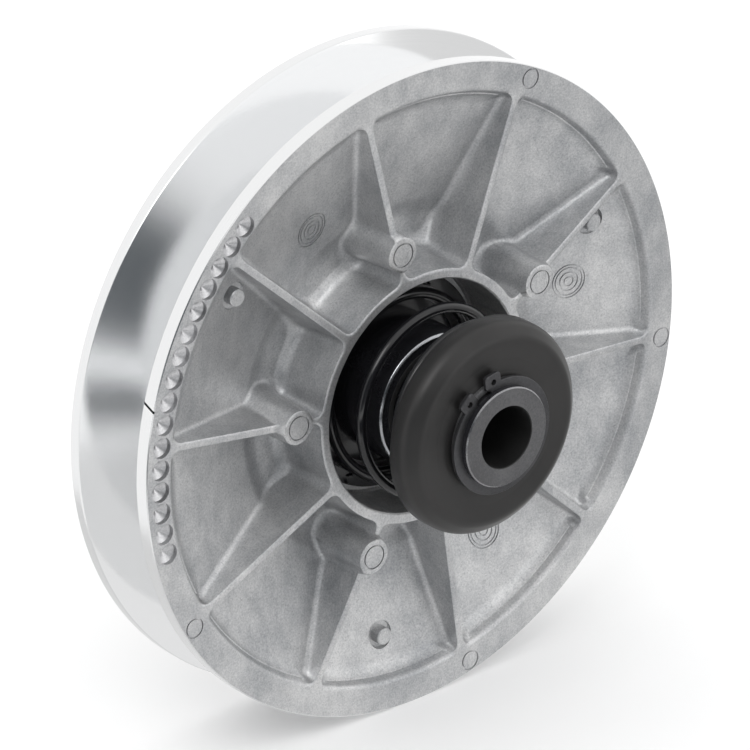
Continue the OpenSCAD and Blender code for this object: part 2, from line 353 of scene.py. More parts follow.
class Casting:
    """The ribbed side of a sheave, seen along the axis: what stands out, and how high."""

    def __init__(self, ring_in, ring_out, ring_w, rim_w, bosses):
        self.ring_in = ring_in
        self.ring_out = ring_out
        self.ring_w = ring_w
        self.rim_w = rim_w
        self.bosses = bosses

    def rib_frame(self, x, y):
        """Position along and across the nearest rib, and whether that rib carries a boss."""
        turn = np.degrees(np.arctan2(y, x))
        nearest = np.round((turn - RIB_START) / RIB_STEP)
        a = np.radians(RIB_START + nearest * RIB_STEP)
        along = x * np.cos(a) + y * np.sin(a)
        across = y * np.cos(a) - x * np.sin(a)
        with_boss = (nearest.astype(int) % 2 == 0) & self.bosses
        return along, across, with_boss

    def boss_distance(self, x, y):
        along, across, with_boss = self.rib_frame(x, y)
        return np.where(with_boss, np.hypot(along - BOSS_AT, across) - BOSS_R, 99.0)

    def distance(self, x, y):
        """Distance outside the raised outline, which is negative on ribs, ring, rim and bosses."""
        r = np.hypot(x, y)
        along, across, with_boss = self.rib_frame(x, y)
        half = np.where(with_boss & (along < BOSS_AT), RIB_HALF_INSIDE_BOSS, RIB_HALF)
        raised = smooth_min(r - self.ring_out, np.abs(across) - half, RIB_FLARE)
        raised = smooth_min(raised, RIM_IN - r, RIB_FLARE)
        return smooth_min(raised, self.boss_distance(x, y), BOSS_FLARE)

    def rim_share(self, x, y):
        """How far the rim is the nearest raised part: 0 beside a rib, 1 beside the rim."""
        r = np.hypot(x, y)
        _, across, _ = self.rib_frame(x, y)
        nearer = np.abs(across) - RIB_HALF - (RIM_IN - r)
        return smooth_step(nearer, -1, 4) * smooth_step(r, 108, 114)

    def top(self, x, y):
        """Height of the raised outline: it falls from the hub ring to the rim."""
        r = np.hypot(x, y)
        share = np.clip((r - self.ring_out) / (RIM_IN - self.ring_out), 0, 1)
        ridge = self.ring_w + (self.rim_w - self.ring_w) * share
        on_boss = 1 - smooth_step(self.boss_distance(x, y), 0.2, 1.6)
        return ridge + (BOSS_W - ridge) * on_boss

    def web(self, r):
        """Height of the web between the ribs."""
        outer = face_w(r) + WEB_T
        if not self.bosses:
            return outer
        bowl = smooth_step(r, BOWL_IN, BOWL_OUT)
        return BOWL_W * (1 - bowl) + outer * bowl

    def height(self, x, y, distance):
        """Height of the surface: a rounded edge, a drafted wall, a fillet and then the web."""
        r = np.hypot(x, y)
        top = self.top(x, y)
        web = self.web(r)
        rise = np.maximum(top - web, 0.2)
        rim = self.rim_share(x, y)
        draft = np.radians(RIB_DRAFT + (RIM_DRAFT - RIB_DRAFT) * rim)
        outside_bowl = smooth_step(r, 57, 66)
        round_r = BOWL_FILLET - (BOWL_FILLET - WEB_FILLET) * outside_bowl + RIM_FILLET_MORE * rim
        round_r = np.minimum(round_r, 0.85 * rise)
        fall = 0.3 + 0.4 * rim
        reach = 0.6 + 1.0 * rim
        floor_at = (rise - round_r) * np.tan(draft) + round_r / np.cos(draft)
        wall_to = floor_at - round_r * np.cos(draft)
        wall = top - fall - distance / np.tan(draft)
        arc = web + round_r - np.sqrt(np.maximum(round_r**2 - (floor_at - distance) ** 2, 0))
        edge = top - fall * np.clip(1 + distance / reach, 0, 1) ** 2
        foot = np.where(distance < floor_at, arc, web)
        side = np.where(distance < wall_to, np.maximum(wall, web), foot)
        return np.where(distance <= 0, edge, side)


# How far from a rib's middle the grid has its columns, and how many more fan out to the next rib
RIB_OFFSETS = [0, 0.7, RIB_HALF_INSIDE_BOSS, RIB_HALF, 1.8, 2.2, 2.7, 3.2, 3.8, 4.4,
               5, 5.6, 6.2, 6.8, 7.4, 8, 8.6, 9.2, 9.9, 10.7]
SECTOR_STEPS = 15
SNAP_PASSES = 3
SNAP_STEP = 0.02


def column_angles(r):
    """Angles of the grid's columns at each radius: parallel to a rib beside it, then fanned out."""
    r = np.asarray(r, float)[:, None]
    near = np.degrees(np.arcsin(np.array(RIB_OFFSETS)[None, :] / r))
    share = np.arange(1, SECTOR_STEPS + 1)[None, :] / SECTOR_STEPS
    far = near[:, -1:] + (RIB_STEP / 2 - near[:, -1:]) * share
    half = np.concatenate([near, far], axis=1)
    sector = np.concatenate([-half[:, -2:0:-1], half], axis=1)
    starts = RIB_START + np.arange(RIB_COUNT) * RIB_STEP
    return np.radians((sector[:, None, :] + starts[None, :, None]).reshape(len(r), -1))


def row_radii(ring_in, ring_out, bosses):
    """Radii of the grid's rows on the ribbed side, closer together where the shape is busy."""
    fine = 0.5 if bosses else 0.8
    parts = [
        np.linspace(ring_in, ring_out, 6, endpoint=False),
        np.arange(ring_out, 76, fine),
        np.arange(76, 111.5, 1.3),
        np.arange(112, 125.2, 0.5),
        np.linspace(126, RIM_R - 0.9, 8),
    ]
    return np.concatenate(parts)


def ribbed_rows(casting, radii, angles):
    """Points of the ribbed side, with the ones beside the raised outline moved onto it."""
    x = radii[:, None] * np.cos(angles)
    y = radii[:, None] * np.sin(angles)
    row_gap = np.gradient(radii)[:, None]
    column_gap = radii[:, None] * np.minimum(
        np.abs(np.roll(angles, -1, 1) - angles) % (2 * math.pi),
        np.abs(angles - np.roll(angles, 1, 1)) % (2 * math.pi))
    step = SNAP_STEP
    for _ in range(SNAP_PASSES):
        d = casting.distance(x, y)
        dx = (casting.distance(x + step, y) - casting.distance(x - step, y)) / (2 * step)
        dy = (casting.distance(x, y + step) - casting.distance(x, y - step)) / (2 * step)
        size = np.maximum(np.hypot(dx, dy), 0.2)
        radial = np.abs(x * dx + y * dy) / np.hypot(x, y) / size
        around = np.sqrt(np.maximum(1 - radial**2, 0))
        near = np.abs(d / size) < 0.5 * (radial * row_gap + around * column_gap)
        near &= (radii[:, None] > casting.ring_out - 0.1) & (radii[:, None] < RIM_IN + 1.6)
        x = x - np.where(near, d * dx / size**2, 0)
        y = y - np.where(near, d * dy / size**2, 0)
    d = casting.distance(x, y)
    d = np.where(np.abs(d) < SNAP_STEP, 0, d)
    return x, y, casting.height(x, y, d)


def sheave(name, casting, rest, side):
    """A closed sheave: its ribbed side, then the turned rows of (r, w) points back to the bore."""
    radii = row_radii(casting.ring_in + 0.6, casting.ring_out, casting.bosses)
    angles = column_angles(radii)
    x, y, height = ribbed_rows(casting, radii, angles)
    turned_r = np.array([p[0] for p in rest])[:, None]
    turned_w = np.array([p[1] for p in rest])[:, None]
    turned = column_angles([RIM_R])
    x = np.concatenate([x, turned_r * np.cos(turned)])
    y = np.concatenate([y, turned_r * np.sin(turned)])
    w = np.concatenate([height, turned_w + 0 * turned]) * side
    return mesh_object(name, in_frame(x, y, w), grid_faces(len(x), x.shape[1]))


def zones(piece, materials, choose):
    """Gives each face the material that choose(r, w, outward, forward) names by its number."""
    piece.data.materials.clear()
    for material in materials:
        piece.data.materials.append(material)
    count = len(piece.data.polygons)
    centre = np.zeros(count * 3)
    normal = np.zeros(count * 3)
    piece.data.polygons.foreach_get("center", centre)
    piece.data.polygons.foreach_get("normal", normal)
    centre = centre.reshape(-1, 3) / MM
    normal = normal.reshape(-1, 3)
    r = np.hypot(centre[:, 0], centre[:, 2])
    outward = (normal[:, 0] * centre[:, 0] + normal[:, 2] * centre[:, 2]) / np.maximum(r, 0.001)
    index = choose(r, -centre[:, 1], outward, -normal[:, 1])
    piece.data.polygons.foreach_set("material_index", index.astype(np.int32))
    piece.data.update()


# ---------------------------------------------------------------- materials


def mixed(tree, factor, first, second):
    """A colour between two colours or sockets, as a factor goes from 0 to 1."""
    node = tree.nodes.new("ShaderNodeMix")
    node.data_type = "RGBA"
    tree.links.new(factor, node.inputs["Factor"])
    for socket, value in ((node.inputs[6], first), (node.inputs[7], second)):
        if isinstance(value, tuple):
            socket.default_value = (*value, 1)
        else:
            tree.links.new(value, socket)
    return node.outputs[2]


class Look:
    """A material's node tree, with short ways to add the nodes that the looks share."""

    def __init__(self, name, color, metallic, roughness):
        self.material = bpy.data.materials.new(name)
        self.material.use_nodes = True
        self.tree = self.material.node_tree
        self.shader = self.tree.nodes["Principled BSDF"]
        self.shader.inputs["Base Color"].default_value = (*color, 1)
        self.shader.inputs["Metallic"].default_value = metallic
        self.shader.inputs["Roughness"].default_value = roughness
        self.material.diffuse_color = (*color, 1)
        self.place = self.tree.nodes.new("ShaderNodeTexCoord").outputs["Object"]

    def link(self, source, target):
        self.tree.links.new(source, target)

    def math(self, operation, a, b=None):
        node = self.tree.nodes.new("ShaderNodeMath")
        node.operation = operation
        for socket, value in zip(node.inputs, (a, b)):
            if isinstance(value, (int, float)):
                socket.default_value = value
            elif value is not None:
                self.link(value, socket)
        return node.outputs[0]

    def noise(self, scale, detail, stretch=(1, 1, 1)):
        mapping = self.tree.nodes.new("ShaderNodeMapping")
        mapping.inputs["Scale"].default_value = stretch
        self.link(self.place, mapping.inputs["Vector"])
        node = self.tree.nodes.new("ShaderNodeTexNoise")
        node.inputs["Scale"].default_value = scale
        node.inputs["Detail"].default_value = detail
        self.link(mapping.outputs["Vector"], node.inputs["Vector"])
        return node.outputs["Fac"]

    def turning(self, scale):
        """Noise that changes only across the tool marks of a face turned about the Y axis."""
        parts = self.tree.nodes.new("ShaderNodeSeparateXYZ")
        self.link(self.place, parts.inputs[0])
        square = self.math("ADD", self.math("MULTIPLY", parts.outputs["X"], parts.outputs["X"]),
                           self.math("MULTIPLY", parts.outputs["Z"], parts.outputs["Z"]))
        depth = self.math("MULTIPLY", parts.outputs["Y"], 1.3)
        across = self.math("ADD", self.math("SQRT", square), depth)
        node = self.tree.nodes.new("ShaderNodeTexNoise")
        node.noise_dimensions = "1D"
        node.inputs["Scale"].default_value = scale
        node.inputs["Detail"].default_value = 4
        self.link(across, node.inputs["W"])
        return node.outputs["Fac"]

    def dash(self, height, slant, at_y, half):
        """A slanted pen stroke across the left side, at a height that follows Y."""
        parts = self.tree.nodes.new("ShaderNodeSeparateXYZ")
        self.link(self.place, parts.inputs[0])
        along = self.math("MULTIPLY", self.math("SUBTRACT", parts.outputs["Y"], at_y), slant)
        off = self.math("SUBTRACT", self.math("SUBTRACT", parts.outputs["Z"], height), along)
        stroke = self.math("LESS_THAN", self.math("ABSOLUTE", off), half)
        return self.math("MULTIPLY", stroke, self.math("LESS_THAN", parts.outputs["X"], -0.1))

    def range(self, source, low, high, to_low=0.0, to_high=1.0):
        node = self.tree.nodes.new("ShaderNodeMapRange")
        node.inputs["From Min"].default_value = low
        node.inputs["From Max"].default_value = high
        node.inputs["To Min"].default_value = to_low
        node.inputs["To Max"].default_value = to_high
        self.link(source, node.inputs["Value"])
        return node.outputs[0]

    def mix(self, factor, first, second):
        return mixed(self.tree, factor, first, second)

    def uneven(self, source, roughness):
        """Roughness that wanders a little around its value."""
        self.roughness(self.range(source, 0.35, 0.65, roughness * 0.85, roughness * 1.2))

    def color(self, source):
        self.link(source, self.shader.inputs["Base Color"])

    def roughness(self, source):
        self.link(source, self.shader.inputs["Roughness"])

    def bump(self, source, depth_mm, strength):
        node = self.tree.nodes.new("ShaderNodeBump")
        node.inputs["Strength"].default_value = strength
        node.inputs["Distance"].default_value = depth_mm * MM
        self.link(source, node.inputs["Height"])
        before = self.shader.inputs["Normal"].links
        if before:
            self.link(before[0].from_socket, node.inputs["Normal"])
        self.link(node.outputs["Normal"], self.shader.inputs["Normal"])

    def turned(self, anisotropy):
        node = self.tree.nodes.new("ShaderNodeTangent")
        node.direction_type = "RADIAL"
        node.axis = "Y"
        self.link(node.outputs["Tangent"], self.shader.inputs["Tangent"])
        self.shader.inputs["Anisotropic"].default_value = anisotropy


def cast_aluminium():
    """Die-cast metal: mottled, with a fine sandy skin and faint flow marks."""
    look = Look("cast_aluminium_skin", (0.60, 0.61, 0.62), 1.0, 0.42)
    cloud = look.noise(30, 6)
    flow = look.noise(150, 5, stretch=(1, 1, 0.6))
    grain = look.noise(1300, 2)
    speck = look.noise(1500, 1)
    tone = look.math("ADD", look.math("MULTIPLY", cloud, 0.42), look.math("MULTIPLY", flow, 0.25))
    tone = look.math("ADD", tone, look.math("MULTIPLY", grain, 0.33))
    skin = look.mix(look.range(tone, 0.36, 0.62), (0.38, 0.39, 0.405), (0.68, 0.68, 0.68))
    look.color(look.mix(look.range(speck, 0.60, 0.72, 0.0, 0.4), skin, (0.25, 0.25, 0.26)))
    look.roughness(look.range(tone, 0.35, 0.65, 0.56, 0.46))
    look.bump(flow, 0.05, 0.5)
    look.bump(grain, 0.05, 0.8)
    return look.material


def turned_aluminium(name, roughness, anisotropy, tone, dash=False):
    """Machined metal with fine tool marks that run around the axis, and perhaps a dash of ink."""
    look = Look(name, (tone, tone, tone), 1.0, roughness)
    marks = look.turning(5000)
    darker = (tone * 0.90, tone * 0.91, tone * 0.92)
    metal = look.mix(look.range(marks, 0.3, 0.7), darker, (tone, tone, tone))
    if dash:
        ink = look.dash(height=0.0331, slant=0.33, at_y=-0.0207, half=0.0005)
        metal = look.mix(ink, metal, (0.02, 0.02, 0.02))
    look.color(metal)
    look.roughness(look.range(marks, 0.3, 0.7, roughness * 0.85, roughness * 1.2))
    look.bump(marks, 0.0015, 0.4)
    look.turned(anisotropy)
    return look.material


def ground_steel(name, color, roughness):
    """Ground steel with a fine grain."""
    look = Look(name, color, 1.0, roughness)
    grain = look.noise(1500, 3)
    cloud = look.noise(60, 3)
    dark = tuple(c * 0.72 for c in color)
    look.color(look.mix(look.range(look.math("ADD", grain, cloud), 0.8, 1.2), dark, color))
    look.uneven(cloud, roughness)
    look.bump(grain, 0.01, 0.6)
    return look.material


def coated(name, color, roughness, metallic=0.0, coat=0.0, grain_mm=0.01, lighter=1.5):
    """A dark finish on metal, with slight unevenness in its tone and gloss."""
    look = Look(name, color, metallic, roughness)
    cloud = look.noise(45, 4)
    grain = look.noise(1100, 3)
    light = tuple(c * lighter for c in color)
    tone = look.math("ADD", cloud, look.math("MULTIPLY", grain, 0.5))
    look.color(look.mix(look.range(tone, 0.6, 0.95), color, light))
    look.uneven(cloud, roughness)
    look.bump(grain, grain_mm, 0.5)
    look.shader.inputs["Coat Weight"].default_value = coat
    look.shader.inputs["Coat Roughness"].default_value = 0.08
    look.shader.inputs["Specular IOR Level"].default_value = 0.35
    return look.material


def satin_black():
    """Anodised cup: satin charcoal, barely mottled."""
    look = Look("satin_charcoal", (0.05, 0.05, 0.052), 0.5, 0.42)
    cloud = look.noise(35, 4)
    grain = look.noise(1000, 2)
    share = look.range(cloud, 0.35, 0.65)
    look.color(look.mix(share, (0.024, 0.0235, 0.0235), (0.032, 0.031, 0.0305)))
    look.roughness(look.range(cloud, 0.35, 0.65, 0.44, 0.38))
    look.bump(grain, 0.012, 0.5)
    return look.material


CAST = cast_aluminium()
RIM_METAL = turned_aluminium("turned_rim", roughness=0.20, anisotropy=0.3, tone=0.74)
MARKED_RIM = turned_aluminium("marked_rim", roughness=0.20, anisotropy=0.3, tone=0.74, dash=True)
DRILLED = ground_steel("drilled_aluminium", (0.66, 0.66, 0.67), 0.36)
BELT_METAL = turned_aluminium("turned_belt_face", roughness=0.12, anisotropy=0.6, tone=0.90)
CUP_BLACK = satin_black()
GLOSS_BLACK = coated("gloss_black", (0.006, 0.006, 0.007), 0.14, coat=0.25, grain_mm=0.002)
TUBE_BLACK = coated("oxide_black", (0.012, 0.012, 0.014), 0.22, coat=0.2, grain_mm=0.003)
CLIP_BLACK = coated("phosphate_black", (0.055, 0.055, 0.058), 0.36, metallic=0.7, grain_mm=0.01)
RUBBER = coated("seal_rubber", (0.020, 0.020, 0.020), 0.6, grain_mm=0.02)
POST_END = ground_steel("post_ground_end", (0.16, 0.16, 0.165), 0.40)
POST_EDGE = ground_steel("post_edge", (0.30, 0.30, 0.31), 0.28)
COLLAR_EDGE = ground_steel("collar_edge", (0.42, 0.43, 0.45), 0.22)
PIN_STEEL = ground_steel("pin_steel", (0.62, 0.62, 0.64), 0.22)
RIVET_STEEL = ground_steel("rivet_steel", (0.52, 0.52, 0.53), 0.36)
WASHER_STEEL = ground_steel("washer_steel", (0.35, 0.35, 0.36), 0.4)
BRONZE = ground_steel("bush_bronze", (0.55, 0.38, 0.20), 0.35)
NYLON = coated("washer_nylon", (0.50, 0.46, 0.38), 0.5, lighter=1.15)
BORE_BLACK = coated("bore_black", (0.012, 0.012, 0.012), 0.5, grain_mm=0.02)


def finish_piece(piece, body, slot, *nodes):
    """Rides a piece on its body, in place of its CAD nodes; its slot argument is not used."""
    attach(piece, body)
    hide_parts(*nodes)
    return piece


def paint(piece, material):
    piece.data.materials.clear()
    piece.data.materials.append(material)
    return piece


# ---------------------------------------------------------------- pieces


def rim_rows(rim_w):
    """The turned outside of a rim, from its flat face over the corner to the belt face."""
    chamfer = RIM_EDGE / 2
    corner = [(RIM_R - chamfer, rim_w), (RIM_R, rim_w - chamfer), (RIM_R, rim_w - RIM_EDGE)]
    edge = [(RIM_R, HALF_GROOVE + RIM_EDGE), (RIM_R, HALF_GROOVE + chamfer)]
    return corner + edge + face_rows((RIM_R - 0.3, RIM_R - RIM_EDGE))


def face_rows(radii):
    """Rows of the belt face at those radii."""
    return [(r, face_w(r)) for r in radii]


def turned_side(rim_w):
    """The turned outside of a sheave, from its flat rim over the belt face to the hub."""
    return rim_rows(rim_w) + face_rows(np.linspace(RIM_R - 6, FACE_IN_R, 12))


def groove(top, inner, outer, depth):
    """The outline of a tool that cuts a ring into a flat top."""
    return [(inner, top - depth), (outer, top - depth), (outer, top + 1), (inner, top + 1)]


def stamp(at_r, at_deg):
    """Plain concentric rings pressed into the web."""
    lean = math.degrees(math.atan(SLOPE))
    tools = []
    for r in STAMP_RINGS:
        inner = r - STAMP_HALF
        outer = r + STAMP_HALF
        profile = [(inner, -STAMP_DEEP), (outer, -STAMP_DEEP), (outer, 1), (inner, 1)]
        tool = spot("ring_tool", profile, 0, 0)
        tool.data.transform(place_on_web(at_r, at_deg, lean))
        tools.append(tool)
    return tools


def place_on_web(at_r, at_deg, lean_deg):
    """The transform from a spot at the axis to the web's surface, leaned to lie along it."""
    height = (face_w(at_r) + WEB_T) * MM
    to_place = Matrix.Translation(Vector((at_r * MM, -height, 0)))
    lean = Matrix.Rotation(math.radians(-lean_deg), 4, "Z")
    turn = Matrix.Rotation(math.radians(-at_deg), 4, "Y")
    return turn @ to_place @ lean


def drillings():
    """Tools for the blind balance holes, each with a conical end."""
    bottom = RIM_W - DRILL_DEEP
    profile = [(0, bottom), (DRILL_R, RIM_W - 2.0), (DRILL_R, RIM_W + 1), (0, RIM_W + 1)]
    turns = [DRILL_START + i * DRILL_STEP for i in range(DRILL_COUNT)]
    return [spot("drill", profile, DRILL_AT, turn) for turn in turns]


def stub_recesses():
    """Tools for the shallow dish around each ejector stub."""
    low = face_w(STUB_AT - 5.6) + WEB_T
    high = low + 6
    floor_r, wall_r = STUB_DISH
    recess = [(0, low), (floor_r, low), (wall_r, low + 0.4), (wall_r, high), (0, high)]
    return [spot("stub_recess", recess, STUB_AT, turn) for turn in STUB_DEG]


def stub(turn):
    """A short round stub that an ejector pin leaves on the web."""
    top = STUB_TOP
    profile = [(0, STUB_FOOT), (STUB_R, STUB_FOOT), (STUB_R, top - 0.4), (STUB_R - 0.4, top), (0, top)]
    return spot("stub", profile, STUB_AT, turn)


def front_cuts():
    """Everything that is cut into the sliding sheave's front."""
    cuts = drillings()
    for i in range(RIB_COUNT // 2):
        boss_deg = RIB_START + 2 * i * RIB_STEP
        cuts.append(spot("boss_groove", groove(BOSS_W, *BOSS_GROOVE), BOSS_AT, boss_deg))
    for turn in PAD_DEG:
        cuts.append(spot("pad_groove", groove(RIM_W, *PAD_GROOVE), PAD_AT, turn))
    cuts += stub_recesses()
    for at_r, at_deg in STAMPS:
        cuts += stamp(at_r, at_deg)
    return cuts


def sliding_casting():
    """Front half: ribs, bosses and rim, with its stubs, stamps and balance holes."""
    casting = Casting(RING_IN, RING_OUT, RING_W, RIM_W, bosses=True)
    hole = TUBE_HOLE_R
    rest = turned_side(RIM_W)
    rest += [(FACE_IN_R - 1, 0.5), (27.4, 0.5), (hole, 0.8), (hole, SEAT_W)]
    rest += [(RING_IN - 1, SEAT_W), (RING_IN, SEAT_W + 1), (RING_IN, RING_W - 0.6)]
    piece = sheave("sliding_casting", casting, rest, 1)
    combine(piece, join("cuts", front_cuts()), "DIFFERENCE")
    combine(piece, join("stubs", [stub(turn) for turn in STUB_DEG]), "UNION")
    shade(piece.data)

    def choose(r, w, outward, forward):
        belt = (forward < -0.9) & (r > FACE_IN_R)
        band = (r > BAND_IN) & (outward > 0.3)
        in_row = np.abs(r - DRILL_AT) < DRILL_R + 0.1
        in_hole = (w > RIM_W - DRILL_DEEP - 0.1) & (w < RIM_W - 0.6)
        drilled = in_row & in_hole & (forward > -0.1)
        return np.where(belt, 2, np.where(band, 1, np.where(drilled, 3, 0)))

    zones(piece, [CAST, MARKED_RIM, BELT_METAL, DRILLED], choose)
    return finish_piece(piece, "sliding_half", "cast_aluminium", "sliding_sheave")


def fixed_casting():
    """Rear half: ribs on its back, and a recess round the flange's rivets at its front."""
    casting = Casting(POST_R, REAR_HUB_R, REAR_HUB_W, REAR_RIM_W, bosses=False)
    lip_w = face_w(FACE_IN_R)
    rest = turned_side(REAR_RIM_W)
    rest += [(RECESS_R + 0.3, lip_w), (RECESS_R, lip_w + 0.3), (RECESS_R, RECESS_W - 0.5)]
    rest += [(RECESS_R - 0.5, RECESS_W), (POST_R, RECESS_W)]
    piece = sheave("fixed_casting", casting, rest, -1)

    def choose(r, w, outward, forward):
        belt = (forward > 0.9) & (r > RECESS_R + 0.5)
        band = (r > BAND_IN) & (outward > 0.3)
        return np.where(belt, 2, np.where(band, 1, 0))

    zones(piece, [CAST, RIM_METAL, BELT_METAL], choose)
    return finish_piece(piece, "fixed_half", "cast_aluminium", "fixed_sheave")


def turned_post():
    """Hollow post with its rear flange; the ends are ground and the rest is black."""
    groove_r = CLIP_IN - CLIP_PLAY
    groove_back = CLIP_BACK - CLIP_PLAY
    groove_front = CLIP_FRONT + CLIP_PLAY
    edge = 0.4
    corners = [
        (BORE_R, POST_BACK + 0.3), (BORE_R + 0.3, POST_BACK),
        (POST_R - 0.8, POST_BACK), (POST_R, POST_BACK + 0.8),
        (POST_R, FLANGE_BACK - 0.5, edge), (FLANGE_R - edge, FLANGE_BACK, 0.3),
        (FLANGE_R, FLANGE_BACK + edge), (FLANGE_R, FLANGE_FRONT - edge),
        (FLANGE_R - edge, FLANGE_FRONT), (POST_R, FLANGE_FRONT),
        (POST_R, groove_back), (groove_r, groove_back),
        (groove_r, groove_front), (POST_R, groove_front),
        (POST_R, POST_FRONT - 0.5), (POST_R - 0.5, POST_FRONT),
        (BORE_R + 0.3, POST_FRONT), (BORE_R, POST_FRONT - 0.3)]
    piece = lathe("turned_post", outline(corners), 192)

    def choose(r, w, outward, forward):
        end = np.abs(forward) > 0.95
        chamfer = (np.abs(forward) > 0.3) & ~end & (w > POST_FRONT - 1)
        inside = (r < BORE_R + 0.3) & ~end
        return np.where(inside, 3, np.where(end, 0, np.where(chamfer, 1, 2)))

    zones(piece, [POST_END, POST_EDGE, TUBE_BLACK, BORE_BLACK], choose)
    return finish_piece(piece, "fixed_half", "post_steel", "post", "post_flange")


def spring_cup():
    """Pressed cup with a rolled edge and a slightly dished face."""
    face = CUP_FRONT
    bore_r = POST_R + 0.05
    inside_r = CUP_R - 3
    neck_r = 24.2
    corners = [
        (bore_r, face - 6), (neck_r, face - 6, 0.8), (neck_r, face - 4.2, 0.8), (inside_r, face - 4, 1.5),
        (inside_r, CUP_BACK + 0.5), (CUP_R - 2.5, CUP_BACK),
        (CUP_R - 0.6, CUP_BACK), (CUP_R, CUP_BACK + 0.6), (CUP_R, face - 4.5, 5.5), (CUP_R - 5.5, face, 5),
        (35, face - 0.2, 6), (30, face - 0.5, 6), (25, face - 0.3, 4), (23.2, face - 0.02), (bore_r, face)]
    piece = lathe("cup_shell", outline(corners, 8), 224, 50)
    paint(piece, CUP_BLACK)
    return finish_piece(piece, "fixed_half", "cup_black", "spring_cup")


def lug(at_deg, back, front):
    """An ear of the circlip: a rounded block that is wider along the ring than it is high."""
    sides = 48
    turn = whole_turn(sides)
    power = 0.45
    out = EAR_AT + EAR_HALF[0] * np.sign(np.cos(turn)) * np.abs(np.cos(turn)) ** power
    along = EAR_HALF[1] * np.sign(np.sin(turn)) * np.abs(np.sin(turn)) ** power
    edge = 0.25
    levels = ((back, 0), (back, 0.9), (back + edge, 1), (front - edge, 1), (front, 0.9), (front, 0))
    rows = []
    for w, share in levels:
        share = max(share, 0.01)
        rows.append((EAR_AT + (out - EAR_AT) * share, along * share, w + 0 * out))
    out, along, w = (np.array([row[i] for row in rows]) for i in range(3))
    return mesh_object("lug", set_at(out, along, w, at_deg), grid_faces(len(rows), sides))


def clip_section(outer, back, front):
    """The (r, w) section of the circlip where it reaches out to that radius."""
    edge = 0.2
    return ((CLIP_IN, back), (outer - edge, back), (outer, back + edge), (outer, front - edge),
            (outer - edge, front), (CLIP_IN + edge, front), (CLIP_IN, front - edge))


def circlip():
    """External ring: it is widest opposite its gap, and has a drilled ear at each end."""
    back = CLIP_BACK
    front = CLIP_FRONT
    steps = 120
    work = bmesh.new()
    rows = []
    for k in range(steps + 1):
        turn = CLIP_GAP_DEG + CLIP_HALF_GAP + (360 - 2 * CLIP_HALF_GAP) * k / steps
        far = 1 - abs(2 * k / steps - 1)
        outer = CLIP_OUT + CLIP_SWELL * math.sin(math.pi / 2 * min(1, far * 2))
        a = math.radians(turn)
        row = []
        for r, w in clip_section(outer, back, front):
            row.append(work.verts.new((r * math.cos(a) * MM, -w * MM, r * math.sin(a) * MM)))
        rows.append(row)
    for near, far in zip(rows, rows[1:]):
        for i in range(len(near)):
            j = (i + 1) % len(near)
            work.faces.new((near[i], near[j], far[j], far[i]))
    work.faces.new(rows[0])
    work.faces.new(rows[-1][::-1])
    bmesh.ops.recalc_face_normals(work, faces=work.faces)
    mesh = bpy.data.meshes.new("circlip")
    work.to_mesh(mesh)
    work.free()
    piece = add_object("circlip", mesh)
    for sign in (-1, 1):
        ear_deg = CLIP_GAP_DEG + sign * EAR_TURN
        combine(piece, lug(ear_deg, back, front), "UNION")
        hole = [(0, back - 1), (EAR_HOLE_R, back - 1), (EAR_HOLE_R, front + 1), (0, front + 1)]
        combine(piece, spot("hole", hole, EAR_HOLE_AT, ear_deg), "DIFFERENCE")
    shade(piece.data)
    paint(piece, CLIP_BLACK)
    return finish_piece(piece, "fixed_half", "ring_phosphate", "retaining_ring")


def upright_w(turns):
    """Height of the spring's centre line, before its turns lean."""
    start = COIL_BACK + WIRE_R
    if turns < END_TURNS:
        return start + turns * 2 * WIRE_R
    if turns < END_TURNS + ACTIVE_TURNS:
        return start + END_RISE + (turns - END_TURNS) * PITCH
    return start + END_RISE + ACTIVE_RISE + (turns - END_TURNS - ACTIVE_TURNS) * 2 * WIRE_R


COIL_START = MARK_DEG - 360 * (END_TURNS + (MARK_W - upright_w(END_TURNS)) / PITCH)


def coil_point(turns):
    """Angle in radians and height of the spring's centre line."""
    a = math.radians(COIL_START + 360 * turns)
    share = math.sin(math.pi * min(1, max(0, (turns - END_TURNS) / ACTIVE_TURNS)))
    return a, upright_w(turns) - TURN_LEAN * share * math.sin(a - math.radians(MARK_DEG))


def coil_spring():
    """Glossy spring of round wire, riding on the spring carrier."""
    sides = 20
    rings = 480
    turns = 2 * END_TURNS + ACTIVE_TURNS
    points = []
    for i in range(rings + 1):
        a, w = coil_point(turns * i / rings)
        for k in range(sides):
            b = 2 * math.pi * k / sides
            r = COIL_R + WIRE_R * math.cos(b)
            points.append((r * math.cos(a), r * math.sin(a), w + WIRE_R * math.sin(b)))
    points = np.array(points)
    faces = grid_faces(rings + 1, sides, close_rows=False)
    faces.append(tuple(range(sides)))
    faces.append(tuple(range(rings * sides, (rings + 1) * sides))[::-1])
    piece = mesh_object("coil_spring", in_frame(*points.T), faces, 50)
    paint(piece, GLOSS_BLACK)
    finish_piece(piece, "spring_carrier", "spring_black", "spring")
    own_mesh(piece)
    return piece


def seal_collar():
    """Sleeve over the cam tube, with a rolled front edge."""
    low = COLLAR_BACK
    high = COLLAR_FRONT
    corners = [(COLLAR_IN, low), (COLLAR_R, low), (COLLAR_R, high - 0.7, 0.8),
               (COLLAR_R - 0.9, high, 0.2), (COLLAR_IN, high)]
    piece = lathe("collar_sleeve", outline(corners, 8), 160)

    def choose(r, w, outward, forward):
        edge = (forward > 0.25) & (outward > 0.2)
        return np.where(edge, 1, 0)

    zones(piece, [TUBE_BLACK, COLLAR_EDGE], choose)
    return finish_piece(piece, "sliding_half", "tube_black", "seal_collar")


